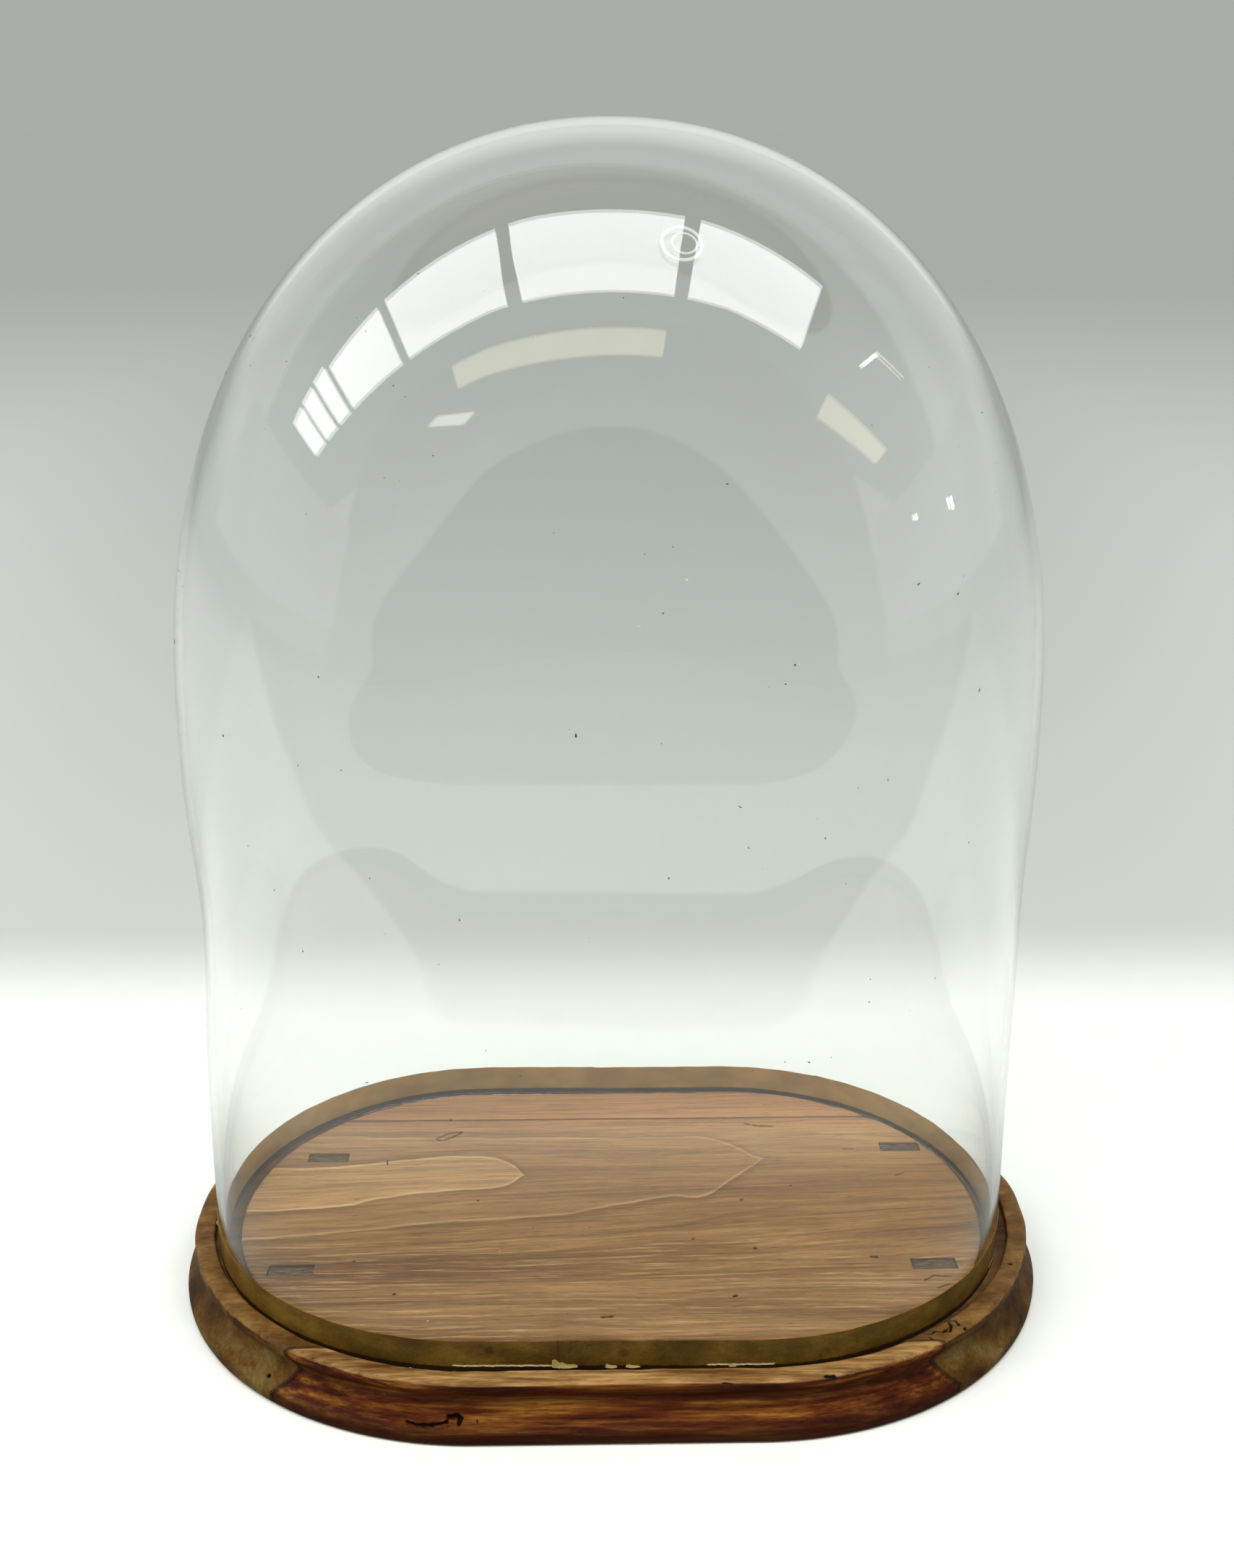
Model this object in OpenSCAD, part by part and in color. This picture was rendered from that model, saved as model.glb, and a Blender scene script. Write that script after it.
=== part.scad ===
// Bell jar dome on an oblong wooden base.
// Origin: centre of the underside of the base. X runs along the length, +Z is up, the front faces -Y.

/* [Glass dome] */
// Length of the glass over its foot
dome_length = 330; // [280:5:400]
// Depth of the glass over its foot, front to back
dome_depth = 222; // [190:2:250]
// Height of the glass from its foot to the crown
dome_height = 448; // [320:4:600]
// Thickness of the glass
glass_t = 3; // [2:0.5:5]
// How far the glass swells at the belly, each side along the length
belly = 2; // [0:0.5:4]
// Where the dome stands in its groove, left or right of the centre
rest_x = -1.5; // [-1.5:0.5:1.5]
// Where the dome stands in its groove, forward or back of the centre
rest_y = -2; // [-2:0.5:2]
// How far the dome stands turned in its groove, in degrees
rest_turn = -0.5; // [-0.5:0.1:0.5]

/* [Edge tape] */
// Height of the paper tape
tape_height = 10.5; // [6:0.5:20]
// Thickness of the paper tape
tape_t = 0.4; // [0.3:0.1:0.8]
// Gap between the base's top and the tape's lower edge
tape_lift = 1; // [0.5:0.5:4]

/* [Base] */
// Thickness of the boards
board_t = 25.4; // [20:0.2:36]
// Groove width inside the glass's outer face
groove_inside = 7; // [6.5:0.5:10]
// Groove width outside the glass's outer face
groove_outside = 3.4; // [3:0.2:5]
// Depth of the groove
groove_depth = 2.5; // [1.5:0.5:5]
// How far the upper lip stands out from the glass
lip_out = 12; // [10:0.5:16]
// How far the foot of the moulding stands out from the glass
foot_out = 15.8; // [13:0.2:24]
// Width of the front board
front_board_w = 27.8; // [22:0.2:40]
// Width of the back board
back_board_w = 48.6; // [22:0.2:60]

/* [Battens and pegs] */
// Distance of each batten from the middle of the base
batten_x = 131; // [90:1:135]
// Length of a batten
batten_length = 150; // [120:2:154]
// Width of a batten
batten_w = 30; // [28:1:40]
// Thickness of a batten
batten_t = 9; // [6:0.5:12]
// Length of a peg's end, along the base
peg_length = 18.5; // [12:0.5:19]
// Width of a peg's end
peg_w = 8; // [5:0.5:12]
// Distance of each peg from the base's long centre line
peg_y = 46; // [30:1:52]
// How far a peg's end lies below the board's face
peg_sunk = 0.6; // [0:0.2:1.5]

/* [Hidden] */

// Plan of the glass: two half circles joined by straight runs
end_r = dome_depth / 2;
straight = (dome_length - dome_depth) / 2;

// Levels and the groove's width
groove_z = board_t - groove_depth;
groove_width = groove_inside + groove_outside;
tape_z = board_t + tape_lift;

// Base outline, outside the glass's plan
base_r = end_r + foot_out;
front_y = -base_r;
front_joint_y = front_y + front_board_w;
back_joint_y = base_r - back_board_w;
past = 1;

// Edge moulding, measured out from the glass's plan and down from the top
lip_round = 2;
lip_under = 4;
cove_back = 3.2;
cove_z = 9.5;
foot_z = 20.5;
foot_round = 2;

// Glass profile: where the belly starts and ends and where the crown starts, as shares of the height
belly_start = 0.34;
belly_end = 0.48;
crown_start = 0.518;
crown_power = 2.3;
crown_root = 2.05;
wall_rows = 6;
crown_rows = 18;

// The straight-sided plan rounds off to an oval on its way up: between which shares, and how far it gets
oval_start = 0.45;
oval_end = 0.95;
oval_most = 0.9;

// Stations round the plan, anticlockwise from the right end's front
arc_steps = 20;
run_steps = 4;
stations = 2 * (arc_steps + run_steps);
right_arc_end = arc_steps;
left_arc_start = arc_steps + run_steps;
left_arc_end = left_arc_start + arc_steps;

// Seams of the tape, as stations
seam_front = left_arc_end + 1;
seam_back_right_low = 14;
seam_back_right_high = 17;
seam_back_middle = right_arc_end + 2;
seam_back_left = left_arc_start;

wood = "#9c7a58";
wood_dark = "#4a3a2c";
wood_under = "#8a6a4a";
paper = "#6f5a22";
glass = [0.80, 0.86, 0.83, 0.35];

$fn = 96;

function arc_point(a, cx, r) = [cx + r * cos(a), r * sin(a)];

// Point i of the plan with half-straight s and end radius r
function plan_point(i, s, r) =
    i < right_arc_end ? arc_point(-90 + 180 * i / arc_steps, s, r) :
    i < left_arc_start ? [s - 2 * s * (i - right_arc_end) / run_steps, r] :
    i < left_arc_end ? arc_point(90 + 180 * (i - left_arc_start) / arc_steps, -s, r) :
    [-s + 2 * s * (i - left_arc_end) / run_steps, -r];

function ease(t) = t <= 0 ? 0 : t >= 1 ? 1 : t * t * (3 - 2 * t);

// Size of the plan at a share h of the height, where 1 is its size at the foot
function swell(h) = 1 + belly / (dome_length / 2) * ease((h - belly_start) / (belly_end - belly_start));

// Above crown_start the profile is a quarter of a superellipse, stepped by its angle
function crown_angle(k) = max(0, 90 * (k - wall_rows) / crown_rows);
function row_share(k) =
    k <= wall_rows ? crown_start * k / wall_rows :
    crown_start + (1 - crown_start) * pow(sin(crown_angle(k)), 2 / crown_power);
function row_girth(k) = swell(row_share(k)) * pow(cos(crown_angle(k)), 2 / crown_root);
rows = wall_rows + crown_rows;

// How far the oval round the plan lies from its centre in the direction of p, as a share of p's own distance
function oval_reach(p, r) = 1 / sqrt(pow(p.x / (r + straight), 2) + pow(p.y / r, 2));
function oval_share(h) = oval_most * ease((h - oval_start) / (oval_end - oval_start));

function skin_ring(k, height, r) =
    [for (i = [0 : stations - 1])
        let (p = plan_point(i, straight, r),
             g = row_girth(k) * (1 + oval_share(row_share(k)) * (oval_reach(p, r) - 1)))
        [p.x * g, p.y * g, row_share(k) * height]];
function skin(height, r) =
    concat([for (k = [0 : rows - 1]) each skin_ring(k, height, r)], [[0, 0, height]]);

// One closed shell: the outer skin, the inner skin and the flat foot between them
module shell(height, r, t) {
    points = concat(skin(height, r), skin(height - t, r - t));
    inner = rows * stations + 1;
    outer_sides = [for (k = [0 : rows - 2], i = [0 : stations - 1])
        let (j = (i + 1) % stations, a = k * stations, b = a + stations)
        each [[a + i, b + i, b + j], [a + i, b + j, a + j]]];
    inner_sides = [for (f = outer_sides) [f[2] + inner, f[1] + inner, f[0] + inner]];
    last = (rows - 1) * stations;
    caps = [for (i = [0 : stations - 1])
        let (j = (i + 1) % stations)
        each [[last + i, inner - 1, last + j], [inner + last + j, 2 * inner - 1, inner + last + i]]];
    foot = [for (i = [0 : stations - 1])
        let (j = (i + 1) % stations)
        each [[i, j, inner + j], [i, inner + j, inner + i]]];
    polyhedron(points, concat(outer_sides, inner_sides, caps, foot));
}

module at_rest() {
    translate([rest_x, rest_y, 0]) rotate(rest_turn) children();
}

module glass_dome() {
    color(glass) at_rest() translate([0, 0, groove_z]) shell(dome_height, end_r, glass_t);
}

// A length of tape from one station to a later one, counting past the last station round to the first
module tape(from, to) {
    run = [for (i = [from : to]) i % stations];
    last = len(run) - 1;
    outline = concat(
        [for (i = run) plan_point(i, straight, end_r)],
        [for (k = [last : -1 : 0]) plan_point(run[k], straight, end_r + tape_t)]);
    color(paper) at_rest() translate([0, 0, tape_z]) linear_extrude(tape_height) polygon(outline);
}

module tape_right_end() { tape(seam_front, stations + seam_back_right_low); }
module tape_back_right_patch() { tape(seam_back_right_low, seam_back_right_high); }
module tape_back_middle() { tape(seam_back_right_high, seam_back_middle); }
module tape_back_left_patch() { tape(seam_back_middle, seam_back_left); }
module tape_left_end() { tape(seam_back_left, seam_front); }

// Half section of the base as a polygon: x is the distance out from the straight's axis, y is the height
function lip_curve() =
    [for (a = [90 : -15 : 0])
        [end_r + lip_out - lip_round + lip_round * cos(a), board_t - lip_round + lip_round * sin(a)]];
function cove_curve() =
    [for (t = [0 : 0.125 : 1])
        [end_r + lip_out - cove_back * sin(90 * t), board_t - lip_under - (cove_z - lip_under) * t]];
function flare_curve() =
    let (x0 = lip_out - cove_back)
    [for (t = [0.125 : 0.125 : 1])
        [end_r + x0 + (foot_out - x0) * (1 - cos(90 * t)) / 2 + (foot_out - x0) * t / 2,
         board_t - cove_z - (foot_z - cove_z) * t]];
function foot_curve() =
    [for (a = [0 : -15 : -90])
        [end_r + foot_out - foot_round + foot_round * cos(a), foot_round + foot_round * sin(a)]];

module half_section() {
    difference() {
        polygon(concat([[0, board_t]], lip_curve(), cove_curve(), flare_curve(), foot_curve(), [[0, 0]]));
        translate([end_r - groove_inside, groove_z])
            square([groove_width, groove_depth + past]);
    }
}

// The whole moulded and grooved slab, before it is cut into boards
module slab() {
    for (side = [-1, 1]) {
        translate([side * straight, 0, 0])
            rotate([0, 0, side > 0 ? -90 : 90]) rotate_extrude(angle = 180) half_section();
        rotate([90, 0, 90 * side])
            translate([0, 0, -straight]) linear_extrude(2 * straight) half_section();
    }
}

module slab_between(y0, y1) {
    intersection() {
        slab();
        translate([-2 * base_r, y0, -past]) cube([4 * base_r, y1 - y0, board_t + 2 * past]);
    }
}

module front_board() {
    color(wood) slab_between(front_y - past, front_joint_y);
}

module back_board() {
    color(wood) slab_between(back_joint_y, base_r + past);
}

module middle_board() {
    color(wood) difference() {
        slab_between(front_joint_y, back_joint_y);
        for (side = [-1, 1]) {
            translate([side * batten_x, 0, 0]) batten_block(past);
            for (row = [-1, 1]) peg_block(side, row, board_t + past);
        }
    }
}

// The mortises were cut by eye: how far each stands from its even place
function peg_shift(side, row) =
    row < 0 ? [min(side, 0) / 2, 1] :
    side < 0 ? [4, -1.5] : [2, 4];

// A batten's outer shape, running below the base's underside by the given amount
module batten_block(below) {
    translate([-batten_w / 2, -batten_length / 2, -below]) cube([batten_w, batten_length, batten_t + below]);
}

// A peg's outer shape up to the given height
module peg_block(side, row, top) {
    translate([side * batten_x - peg_length / 2, row * peg_y - peg_w / 2, 0])
        translate(peg_shift(side, row)) cube([peg_length, peg_w, top]);
}

module batten(side) {
    color(wood_under) difference() {
        translate([side * batten_x, 0, 0]) batten_block(0);
        for (row = [-1, 1]) translate([0, 0, -past]) peg_block(side, row, batten_t + 2 * past);
    }
}

module left_batten() { batten(-1); }
module right_batten() { batten(1); }

module peg(side, row) {
    color(wood_dark) peg_block(side, row, board_t - peg_sunk);
}

module peg_front_left() { peg(-1, -1); }
module peg_front_right() { peg(1, -1); }
module peg_back_left() { peg(-1, 1); }
module peg_back_right() { peg(1, 1); }

front_board();
middle_board();
back_board();
left_batten();
right_batten();
peg_front_left();
peg_front_right();
peg_back_left();
peg_back_right();
glass_dome();
tape_left_end();
tape_right_end();
tape_back_middle();
tape_back_left_patch();
tape_back_right_patch();
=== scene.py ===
"""Looks for the bell jar dome: glass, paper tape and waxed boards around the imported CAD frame."""
import math
import random

import bmesh
import bpy
import numpy as np
from mathutils import Matrix, Vector, geometry


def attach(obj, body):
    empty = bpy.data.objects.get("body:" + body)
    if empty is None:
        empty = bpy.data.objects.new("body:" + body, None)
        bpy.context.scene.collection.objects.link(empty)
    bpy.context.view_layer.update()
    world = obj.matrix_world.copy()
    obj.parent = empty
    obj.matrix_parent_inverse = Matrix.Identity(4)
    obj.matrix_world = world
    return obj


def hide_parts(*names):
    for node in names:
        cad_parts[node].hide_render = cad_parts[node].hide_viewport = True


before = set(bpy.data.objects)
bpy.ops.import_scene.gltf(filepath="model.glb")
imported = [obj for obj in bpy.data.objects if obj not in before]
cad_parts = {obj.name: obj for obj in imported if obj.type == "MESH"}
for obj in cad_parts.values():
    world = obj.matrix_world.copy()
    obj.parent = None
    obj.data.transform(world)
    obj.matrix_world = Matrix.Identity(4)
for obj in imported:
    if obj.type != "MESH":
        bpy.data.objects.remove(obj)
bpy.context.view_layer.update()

MM = 0.001

# ---- sizes in millimetres, as in part.scad
END_R = 111.0
STRAIGHT = 54.0
HALF_LENGTH = END_R + STRAIGHT
GLASS_H = 448.0
GLASS_T = 3.0
REST = (-1.5, -2.0)
REST_TURN = math.radians(-0.5)
BOARD_T = 25.4
GROOVE_Z = 22.9
GROOVE_IN = END_R - 7.0
GROOVE_OUT = END_R + 3.4
LIP_OUT = 12.0
FOOT_OUT = 15.8
FRONT_JOINT = -99.0
BACK_JOINT = 78.2
TAPE_Z = 25.9                            # the paper starts a little below the CAD tape
TAPE_H = 11.0
BLISTER = (20.6, -63.0, 439.6)           # middle of the burst blister on the crown
DUST_COUNT = 110
SMOOTH_ANGLE = 40.0                      # degrees; edges sharper than this stay sharp
BATTEN = (131.0, 75.0, 15.0, 9.0)        # distance from the middle, half length, half width, thickness
PEG = (9.25, 4.0, 0.6)                   # half length, half width, sunk depth
CUT_CORNER = 0.6                         # radius of the corners of mortises and trenches
PEG_PLACES = {"front_left": (-131.5, -45.0), "front_right": (131.0, -45.0),
              "back_left": (-127.0, 44.5), "back_right": (133.0, 50.0)}


# ---- mesh helpers
def ease(t):
    """A smooth step from 0 to 1; t is a number or an array."""
    t = np.clip(t, 0.0, 1.0)
    return t * t * (3.0 - 2.0 * t)


def waves(points, size, seed, count=14):
    """Smooth noise of about +-1 at each point, with bumps of about the given size in millimetres."""
    rng = np.random.default_rng(seed)
    total = np.zeros(len(points))
    for _ in range(count):
        axis = rng.normal(size=3)
        axis *= rng.uniform(0.6, 1.5) * 2.0 * math.pi / (size * 2.0 * np.linalg.norm(axis))
        total += np.sin(points @ axis + rng.uniform(0.0, 2.0 * math.pi))
    return total / math.sqrt(count / 2.0) * 0.6


def make_object(name, verts, faces, material, sharp=SMOOTH_ANGLE):
    """A mesh object from millimetre points, smooth but for edges sharper than the given angle."""
    mesh = bpy.data.meshes.new(name)
    mesh.from_pydata([tuple(v) for v in np.asarray(verts, dtype=float) * MM], [], faces)
    mesh.validate()
    return finish_object(name, mesh, material, sharp)


def smooth(mesh, sharp=SMOOTH_ANGLE):
    """Smooth shading but for edges sharper than the given angle."""
    mesh.polygons.foreach_set("use_smooth", [True] * len(mesh.polygons))
    mesh.set_sharp_from_angle(angle=math.radians(sharp))


def finish_object(name, mesh, material, sharp=SMOOTH_ANGLE):
    """Puts a finished mesh in the scene with one material."""
    smooth(mesh, sharp)
    mesh.materials.clear()
    mesh.materials.append(material)
    ob = bpy.data.objects.new(name, mesh)
    bpy.context.scene.collection.objects.link(ob)
    return ob


def to_mesh(bm, name):
    """Turns a bmesh in millimetres into a mesh in metres and frees it."""
    for v in bm.verts:
        v.co = v.co * MM
    mesh = bpy.data.meshes.new(name)
    bm.to_mesh(mesh)
    bm.free()
    return mesh


def set_values(ob, **fields):
    """Gives each point of an object named values that its material reads."""
    for name, values in fields.items():
        ob.data.attributes.new(name, "FLOAT", "POINT").data.foreach_set("value", values)


def stadium(stations, run_share, radius):
    """Points round a stadium, anticlockwise from the right end's front, with the given share on each run."""
    runs = int(stations * run_share)
    arcs = stations // 2 - runs
    out = []
    for side in (1.0, -1.0):
        for i in range(arcs):
            a = math.radians(-90.0 + 180.0 * i / arcs)
            out.append((side * (STRAIGHT + radius * math.cos(a)), side * radius * math.sin(a)))
        out += [(side * (STRAIGHT - 2.0 * STRAIGHT * i / runs), side * radius) for i in range(runs)]
    return np.array(out)


def at_rest(points):
    """Moves points made about the dome's own centre to where it stands in the groove."""
    c, s = math.cos(REST_TURN), math.sin(REST_TURN)
    out = np.array(points, dtype=float)
    x, y = out[:, 0].copy(), out[:, 1].copy()
    out[:, 0] = c * x - s * y + REST[0]
    out[:, 1] = s * x + c * y + REST[1]
    return out


def ring_faces(first, second, count):
    """Quads between two closed rows of points."""
    return [(first + i, first + (i + 1) % count, second + (i + 1) % count, second + i) for i in range(count)]


def turned(faces):
    """The same faces, seen from the other side."""
    return [tuple(reversed(f)) for f in faces]


def sheet_faces(rows, columns, first=0):
    """Faces of a thin closed sheet, given as one grid of rows x columns points after another."""
    size = rows * columns
    faces = []
    for i in range(rows - 1):
        for j in range(columns - 1):
            a = first + i * columns + j
            b = a + size
            faces.append((a, a + 1, a + columns + 1, a + columns))
            faces.append((b, b + columns, b + columns + 1, b + 1))
    border = [i * columns for i in range(rows)] + [(rows - 1) * columns + j for j in range(1, columns)]
    border += [i * columns + columns - 1 for i in range(rows - 2, -1, -1)] + list(range(columns - 2, 0, -1))
    for a, b in zip(border, border[1:] + border[:1]):
        faces.append((first + a, first + b, first + b + size, first + a + size))
    return faces


# ---- node helpers
def srgb(r, g, b):
    """An 8-bit display colour as linear RGBA."""
    out = []
    for c in (r, g, b):
        c /= 255.0
        out.append(c / 12.92 if c <= 0.04045 else ((c + 0.055) / 1.055) ** 2.4)
    return (*out, 1.0)


class Shader:
    """A material and short calls that add nodes to it. Inputs are sockets, numbers or colours."""

    def __init__(self, name):
        self.mat = bpy.data.materials.new(name)
        self.mat.use_nodes = True
        self.tree = self.mat.node_tree
        self.tree.nodes.clear()
        self.out = self.tree.nodes.new("ShaderNodeOutputMaterial")

    def put(self, socket, value):
        if isinstance(value, bpy.types.NodeSocket):
            self.tree.links.new(value, socket)
        elif value is not None:
            socket.default_value = value

    def node(self, kind, inputs=(), **props):
        """Adds a node; inputs are values for its first sockets in turn, or for sockets by name."""
        n = self.tree.nodes.new(kind)
        for k, v in props.items():
            setattr(n, k, v)
        for key, v in inputs.items() if isinstance(inputs, dict) else enumerate(inputs):
            self.put(n.inputs[key], v)
        return n

    def place(self, scale=(1.0, 1.0, 1.0), shift=(0.0, 0.0, 0.0)):
        """Object coordinates in millimetres, scaled and then shifted."""
        if not hasattr(self, "object_coord"):
            self.object_coord = self.node("ShaderNodeTexCoord").outputs["Object"]
        inputs = {"Vector": self.object_coord, "Scale": [s / MM for s in scale], "Location": shift}
        return self.node("ShaderNodeMapping", inputs).outputs["Vector"]

    def xyz(self, vector):
        return self.node("ShaderNodeSeparateXYZ", (vector,)).outputs

    def join(self, x, y, z):
        return self.node("ShaderNodeCombineXYZ", (x, y, z)).outputs[0]

    def math(self, op, a, b=None, c=None):
        return self.node("ShaderNodeMath", (a, b, c), operation=op).outputs[0]

    def add(self, a, b):
        return self.math("ADD", a, b)

    def sub(self, a, b):
        return self.math("SUBTRACT", a, b)

    def mul(self, a, b):
        return self.math("MULTIPLY", a, b)

    def mul_add(self, a, b, c):
        return self.math("MULTIPLY_ADD", a, b, c)

    def max(self, a, b):
        return self.math("MAXIMUM", a, b)

    def min(self, a, b):
        return self.math("MINIMUM", a, b)

    def abs(self, a):
        return self.math("ABSOLUTE", a)

    def length(self, a, b):
        """The long side of a right triangle."""
        return self.math("SQRT", self.add(self.math("POWER", a, 2.0), self.math("POWER", b, 2.0)))

    def step(self, value, low, high, start=0.0, end=1.0):
        """A smooth step of value from start at low to end at high; low may be above high."""
        if low > high:
            low, high, start, end = high, low, end, start
        inputs = {"Value": value, "From Min": low, "From Max": high, "To Min": start, "To Max": end}
        return self.node("ShaderNodeMapRange", inputs, interpolation_type="SMOOTHSTEP").outputs[0]

    def noise(self, vector, detail, rough, scale=1.0):
        inputs = {"Vector": vector, "Scale": scale, "Detail": detail, "Roughness": rough}
        return self.node("ShaderNodeTexNoise", inputs).outputs["Fac"]

    def spots(self, scale, detail, rough=0.5, shift=(0.0, 0.0, 0.0)):
        """Noise through the object, with scale bumps to the millimetre along X, Y and Z."""
        return self.noise(self.place(scale, shift), detail, rough)

    def attribute(self, name):
        return self.node("ShaderNodeAttribute", attribute_name=name).outputs["Fac"]

    def light_path(self, name):
        return self.node("ShaderNodeLightPath").outputs[name]

    def mirrored(self):
        """1 for rays that glass or polish has mirrored, otherwise 0."""
        return self.step(self.light_path("Glossy Depth"), 0.3, 0.7)

    def mix(self, fac, a, b, blend="MIX"):
        """A mix of two colours."""
        n = self.node("ShaderNodeMix", data_type="RGBA", blend_type=blend)
        for i, v in ((0, fac), (6, a), (7, b)):
            self.put(n.inputs[i], v)
        return n.outputs[2]

    def times(self, colour, factor):
        """A colour scaled by a number."""
        return self.node("ShaderNodeVectorMath", {0: colour, "Scale": factor}, operation="SCALE").outputs[0]

    def ramp(self, value, *stops):
        """Stops are (position, red, green, blue) in 8-bit display values."""
        n = self.node("ShaderNodeValToRGB", (value,))
        ramp = n.color_ramp
        while len(ramp.elements) < len(stops):
            ramp.elements.new(0.5)
        for element, (position, *colour) in zip(ramp.elements, stops):
            element.position = position
            element.color = srgb(*colour)
        return n.outputs[0]

    def outline(self, x, points, span=200.0):
        """The height in millimetres of a smooth line through the points, at x; both run over +-span."""
        n = self.node("ShaderNodeFloatCurve", {"Value": self.mul_add(x, 0.5 / span, 0.5)})
        curve = n.mapping.curves[0]
        while len(curve.points) < len(points):
            curve.points.new(0.5, 0.5)
        for p, (px, py) in zip(curve.points, points):
            p.location = (px * 0.5 / span + 0.5, py * 0.5 / span + 0.5)
        n.mapping.update()
        return self.mul_add(n.outputs[0], 2.0 * span, -span)

    def bump(self, height, distance, strength):
        """Normals for a relief of the given height in millimetres."""
        inputs = {"Height": height, "Distance": distance * MM, "Strength": strength}
        return self.node("ShaderNodeBump", inputs).outputs[0]

    def either(self, fac, first, second):
        """A mix of two surfaces."""
        return self.node("ShaderNodeMixShader", (fac, first, second)).outputs[0]

    def clear(self, colour=(1.0, 1.0, 1.0, 1.0)):
        """A surface that lets light straight through."""
        return self.node("ShaderNodeBsdfTransparent", {"Color": colour}).outputs[0]

    def principled(self, **sockets):
        inputs = {k.replace("_", " "): v for k, v in sockets.items()}
        return self.node("ShaderNodeBsdfPrincipled", inputs).outputs[0]

    def finish(self, surface):
        self.tree.links.new(surface, self.out.inputs["Surface"])
        return self.mat


# ---- camera
HEADING, PITCH, ROLL = (math.radians(a) for a in (1.457, 19.30, 0.187))
EYE = (-17.3, -745.3, 479.4)
FOCAL_LENGTH = 45.5                      # on a sensor 36 mm wide


def make_camera():
    """The view from a phone held in front, a little above the top of the glass."""
    level_way = Vector((math.sin(HEADING), math.cos(HEADING), 0.0))
    forward = level_way * math.cos(PITCH) - Vector((0.0, 0.0, math.sin(PITCH)))
    level = Vector((math.cos(HEADING), -math.sin(HEADING), 0.0))
    right = level * math.cos(ROLL) + level.cross(forward) * math.sin(ROLL)
    up = right.cross(forward)
    data = bpy.data.cameras.new("camera")
    data.sensor_width = 36.0
    data.lens = FOCAL_LENGTH
    data.clip_start = 0.05
    data.clip_end = 60.0
    cam = bpy.data.objects.new("camera", data)
    cam.location = Vector(EYE) * MM
    cam.rotation_euler = Matrix((right, up, -forward)).transposed().to_euler()
    bpy.context.scene.collection.objects.link(cam)
    bpy.context.scene.camera = cam


# ---- floor, sky and lamps
FLOOR_NEAR = srgb(221, 223, 219)
FLOOR_FAR = srgb(176, 180, 175)
FLOOR_MIRRORED_SHADE = srgb(92, 94, 92)
SKY_LOW = srgb(170, 174, 169)
SKY_HIGH = (0.80, 0.81, 0.80, 1.0)
TABLE_FRONT = -450.0                     # the white table's front edge, and where its back fades out
TABLE_BACK = (370.0, 225.0)


def radial(s, x, y):
    """How far a point stands from the middle line of the oblong plan."""
    return s.length(s.max(s.sub(s.abs(x), STRAIGHT), 0.0), y)


def make_floor():
    """A pale floor: a white table where the object stands, light grey further off."""
    s = Shader("floor_paper")
    x, y, _ = s.xyz(s.place())
    mirrored = s.mirrored()
    front = s.step(y, TABLE_FRONT - 6.0, TABLE_FRONT + 6.0)
    near = s.mul(front, s.step(y, *TABLE_BACK))
    tone = s.mix(near, FLOOR_FAR, FLOOR_NEAR)
    tone = s.mix(s.step(s.spots((0.05,) * 3, 3.0), 0.3, 0.8, 0.0, 0.06), tone, FLOOR_FAR)
    # Far off to either side, and far behind, the floor is lighter again
    aside = s.mul(s.step(s.abs(x), 260.0, 900.0), s.step(y, 5000.0, 1200.0))
    tone = s.mix(s.mul(aside, s.step(front, 0.0, 1.0, 0.0, 0.5)), tone, FLOOR_NEAR)
    tone = s.mix(s.step(y, 2000.0, 9000.0, 0.0, 0.12), tone, FLOOR_NEAR)
    # Painted shade in what the glass mirrors, for the person at the camera: the floor past the table's front
    # edge everywhere, and a painted shadow on the floor close in front, in the nearer wall of the glass
    dim = s.mul(s.sub(1.0, front), 0.6)
    nearer = s.step(s.light_path("Ray Depth"), 4.0, 3.5)
    close = s.mul(s.step(radial(s, x, y), 350.0, 230.0), s.step(y, 150.0, 0.0, 0.0, 0.85))
    dim = s.max(dim, s.mul(close, nearer))
    tone = s.mix(s.mul(dim, mirrored), tone, FLOOR_MIRRORED_SHADE)
    mat = s.finish(s.principled(Base_Color=tone, Roughness=0.75, Specular_IOR_Level=0.2))
    rings, count = (300.0, 1000.0, 3000.0, 9000.0, 24000.0), 96
    verts = [(0.0, 0.0, 0.0)]
    for r in rings:
        angles = [2 * math.pi * i / count for i in range(count)]
        verts += [(r * math.cos(a), r * math.sin(a), 0.0) for a in angles]
    faces = [(0, 1 + i, 1 + (i + 1) % count) for i in range(count)]
    for k in range(len(rings) - 1):
        faces += turned(ring_faces(1 + (k + 1) * count, 1 + k * count, count))
    make_object("floor", verts, faces, mat)


def make_sky():
    """An even grey room, lighter above."""
    world = bpy.data.worlds.new("room")
    bpy.context.scene.world = world
    world.use_nodes = True
    tree = world.node_tree
    tree.nodes.clear()
    coord = tree.nodes.new("ShaderNodeTexCoord")
    split = tree.nodes.new("ShaderNodeSeparateXYZ")
    ramp = tree.nodes.new("ShaderNodeValToRGB")
    back = tree.nodes.new("ShaderNodeBackground")
    out = tree.nodes.new("ShaderNodeOutputWorld")
    ramp.color_ramp.elements[0].position = 0.06
    ramp.color_ramp.elements[0].color = SKY_LOW
    ramp.color_ramp.elements[1].position = 0.22
    ramp.color_ramp.elements[1].color = SKY_HIGH
    for a, b in ((coord.outputs["Generated"], split.inputs[0]), (split.outputs[2], ramp.inputs[0]),
                 (ramp.outputs[0], back.inputs["Color"]), (back.outputs[0], out.inputs["Surface"])):
        tree.links.new(a, b)


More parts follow.
